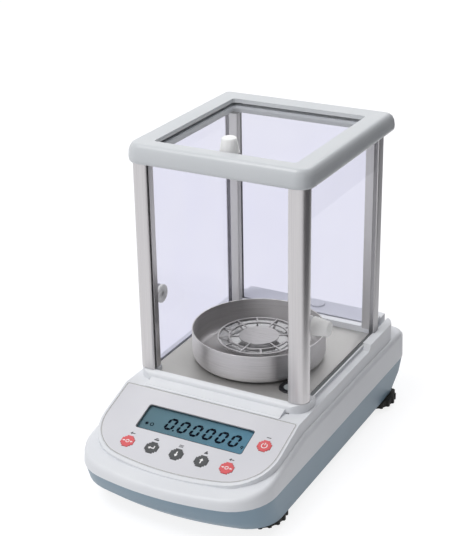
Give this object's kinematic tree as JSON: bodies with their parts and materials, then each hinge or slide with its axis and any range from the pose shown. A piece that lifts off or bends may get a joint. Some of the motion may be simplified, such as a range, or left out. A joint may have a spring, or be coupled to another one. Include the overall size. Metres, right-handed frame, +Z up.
{
  "type": "analytical balance",
  "caption": "Semi-micro analytical balance: sloped keypad housing, glass weighing chamber with sliding doors and lid, openwork pan in a draft ring, levelling feet.",
  "frame": {"origin": "under the middle of the balance, on the table", "axes": "+Z up, the display faces -Y, +X is to the right of someone who reads the display"},
  "size_m": [0.225, 0.398, 0.3569],
  "materials": {
    "white_plastic": "satin moulded plastic",
    "tray_plastic": "satin moulded plastic",
    "frame_paint": "satin paint on a die casting",
    "film": "printed satin film",
    "brushed_steel": "brushed",
    "polished_steel": "polished",
    "aluminium": "brushed and anodised",
    "black_plastic": "satin",
    "rubber": "matte",
    "grey_plastic": "satin",
    "red_key": "satin",
    "dark_key": "satin",
    "glass": "clear float glass",
    "display": "liquid crystal display",
    "circuit_board": "solder mask",
    "cast_alloy": "as cast",
    "magnet_steel": "ground",
    "copper": "enamelled copper winding",
    "knob_plastic": "smooth",
    "zinc_steel": "zinc plated"
  },
  "bodies": {
    "housing": {"lower_housing": "tray_plastic", "upper_housing": "white_plastic", "rear_deck_cap": "white_plastic", "keypad_overlay": "film", "display_window": "glass", "display_module": "display", "display_board": "circuit_board", "chamber_floor_plate": "brushed_steel", "door_track_left": "grey_plastic", "door_track_right": "grey_plastic", "level_body": "black_plastic", "level_vial": "glass", "post_front_left": "aluminium", "post_front_right": "aluminium", "post_rear_left": "aluminium", "post_rear_right": "aluminium", "top_frame": "frame_paint", "front_glass": "glass", "rear_glass": "glass", "cell_base": "cast_alloy", "guide_upper": "zinc_steel", "guide_lower": "zinc_steel", "magnet_can": "magnet_steel", "main_board": "circuit_board", "power_inlet": "black_plastic", "data_socket": "zinc_steel", "case_screw_front_left": "zinc_steel", "case_screw_front_right": "zinc_steel", "case_screw_rear_left": "zinc_steel", "case_screw_rear_right": "zinc_steel"},
    "left_door": {"left_door_glass": "glass", "left_door_knob": "knob_plastic", "left_door_nut": "knob_plastic"},
    "right_door": {"right_door_glass": "glass", "right_door_knob": "knob_plastic", "right_door_nut": "knob_plastic"},
    "lid": {"lid_glass": "glass", "lid_knob": "knob_plastic", "lid_nut": "knob_plastic"},
    "hanger": {"cell_hanger": "cast_alloy"},
    "carrier": {"pan_carrier": "polished_steel"},
    "pan": {"weighing_pan": "brushed_steel"},
    "ring": {"draft_ring": "brushed_steel"},
    "beam": {"lever_beam": "cast_alloy", "coil": "copper"},
    "key_1_body": {"key_1": "red_key"},
    "key_2_body": {"key_2": "dark_key"},
    "key_3_body": {"key_3": "dark_key"},
    "key_4_body": {"key_4": "dark_key"},
    "key_5_body": {"key_5": "red_key"},
    "key_6_body": {"key_6": "red_key"},
    "pad_front_left": {"foot_pad_front_left": "rubber"},
    "wheel_front_left": {"foot_wheel_front_left": "black_plastic"},
    "pad_front_right": {"foot_pad_front_right": "rubber"},
    "wheel_front_right": {"foot_wheel_front_right": "black_plastic"},
    "pad_rear_left": {"foot_pad_rear_left": "rubber"},
    "wheel_rear_left": {"foot_wheel_rear_left": "black_plastic"},
    "pad_rear_right": {"foot_pad_rear_right": "rubber"},
    "wheel_rear_right": {"foot_wheel_rear_right": "black_plastic"}
  },
  "joints": [
    {"name": "left_door_slide", "type": "slide", "parent": "housing", "child": "left_door", "axis": [0, 1, 0], "range_m": [0, 0.14]},
    {"name": "right_door_slide", "type": "slide", "parent": "housing", "child": "right_door", "axis": [0, 1, 0], "range_m": [0, 0.14]},
    {"name": "lid_slide", "type": "slide", "parent": "housing", "child": "lid", "axis": [0, 1, 0], "range_m": [0, 0.135]},
    {"name": "key_zero_left_press", "type": "slide", "parent": "housing", "child": "key_1_body", "axis": [0, 0.3173, -0.9483], "range_m": [0, 0.0007], "stiffness_N_per_m": 900, "springref_m": -0.001},
    {"name": "key_enter_press", "type": "slide", "parent": "housing", "child": "key_2_body", "axis": [0, 0.3173, -0.9483], "range_m": [0, 0.0007], "stiffness_N_per_m": 900, "springref_m": -0.001},
    {"name": "key_down_press", "type": "slide", "parent": "housing", "child": "key_3_body", "axis": [0, 0.3173, -0.9483], "range_m": [0, 0.0007], "stiffness_N_per_m": 900, "springref_m": -0.001},
    {"name": "key_up_press", "type": "slide", "parent": "housing", "child": "key_4_body", "axis": [0, 0.3173, -0.9483], "range_m": [0, 0.0007], "stiffness_N_per_m": 900, "springref_m": -0.001},
    {"name": "key_zero_right_press", "type": "slide", "parent": "housing", "child": "key_5_body", "axis": [0, 0.3173, -0.9483], "range_m": [0, 0.0007], "stiffness_N_per_m": 900, "springref_m": -0.001},
    {"name": "key_power_press", "type": "slide", "parent": "housing", "child": "key_6_body", "axis": [0, 0.3173, -0.9483], "range_m": [0, 0.0007], "stiffness_N_per_m": 900, "springref_m": -0.001},
    {"name": "hanger_slide", "type": "slide", "parent": "housing", "child": "hanger", "axis": [0, 0, -1], "range_m": [0, 0.0004], "stiffness_N_per_m": 5000, "springref_m": -0.0008},
    {"name": "carrier_lift", "type": "slide", "parent": "hanger", "child": "carrier", "axis": [0, 0, 1], "range_m": [0, 0.035]},
    {"name": "pan_lift", "type": "slide", "parent": "carrier", "child": "pan", "axis": [0, 0, 1], "range_m": [0, 0.08]},
    {"name": "ring_lift", "type": "slide", "parent": "housing", "child": "ring", "axis": [0, 0, 1], "range_m": [0, 0.01]},
    {"name": "beam_tilt", "type": "hinge", "parent": "housing", "child": "beam", "pos_m": [0, 0.0615, 0.05], "axis": [1, 0, 0], "range_deg": [0, 0.65]},
    {"name": "foot_front_left_travel", "type": "slide", "parent": "housing", "child": "pad_front_left", "axis": [0, 0, -1], "range_m": [0, 0.00375]},
    {"name": "foot_front_left_turn", "type": "hinge", "parent": "pad_front_left", "child": "wheel_front_left", "pos_m": [-0.075, -0.1235, 0.008], "axis": [0, 0, 1], "range_deg": [0, 1082]},
    {"name": "foot_front_right_travel", "type": "slide", "parent": "housing", "child": "pad_front_right", "axis": [0, 0, -1], "range_m": [0, 0.00375]},
    {"name": "foot_front_right_turn", "type": "hinge", "parent": "pad_front_right", "child": "wheel_front_right", "pos_m": [0.075, -0.1235, 0.008], "axis": [0, 0, 1], "range_deg": [0, 1082]},
    {"name": "foot_rear_left_travel", "type": "slide", "parent": "housing", "child": "pad_rear_left", "axis": [0, 0, -1], "range_m": [0, 0.00375]},
    {"name": "foot_rear_left_turn", "type": "hinge", "parent": "pad_rear_left", "child": "wheel_rear_left", "pos_m": [-0.083, 0.1415, 0.008], "axis": [0, 0, 1], "range_deg": [0, 1082]},
    {"name": "foot_rear_right_travel", "type": "slide", "parent": "housing", "child": "pad_rear_right", "axis": [0, 0, -1], "range_m": [0, 0.00375]},
    {"name": "foot_rear_right_turn", "type": "hinge", "parent": "pad_rear_right", "child": "wheel_rear_right", "pos_m": [0.083, 0.1415, 0.008], "axis": [0, 0, 1], "range_deg": [0, 1082]}
  ],
  "couplings": [
    {"joint": "beam_tilt", "follows": "hanger_slide", "rad_per_m": 27.78},
    {"joint": "foot_front_left_turn", "follows": "foot_front_left_travel", "rad_per_m": 5026.5},
    {"joint": "foot_front_right_turn", "follows": "foot_front_right_travel", "rad_per_m": 5026.5},
    {"joint": "foot_rear_left_turn", "follows": "foot_rear_left_travel", "rad_per_m": 5026.5},
    {"joint": "foot_rear_right_turn", "follows": "foot_rear_right_travel", "rad_per_m": 5026.5}
  ]
}
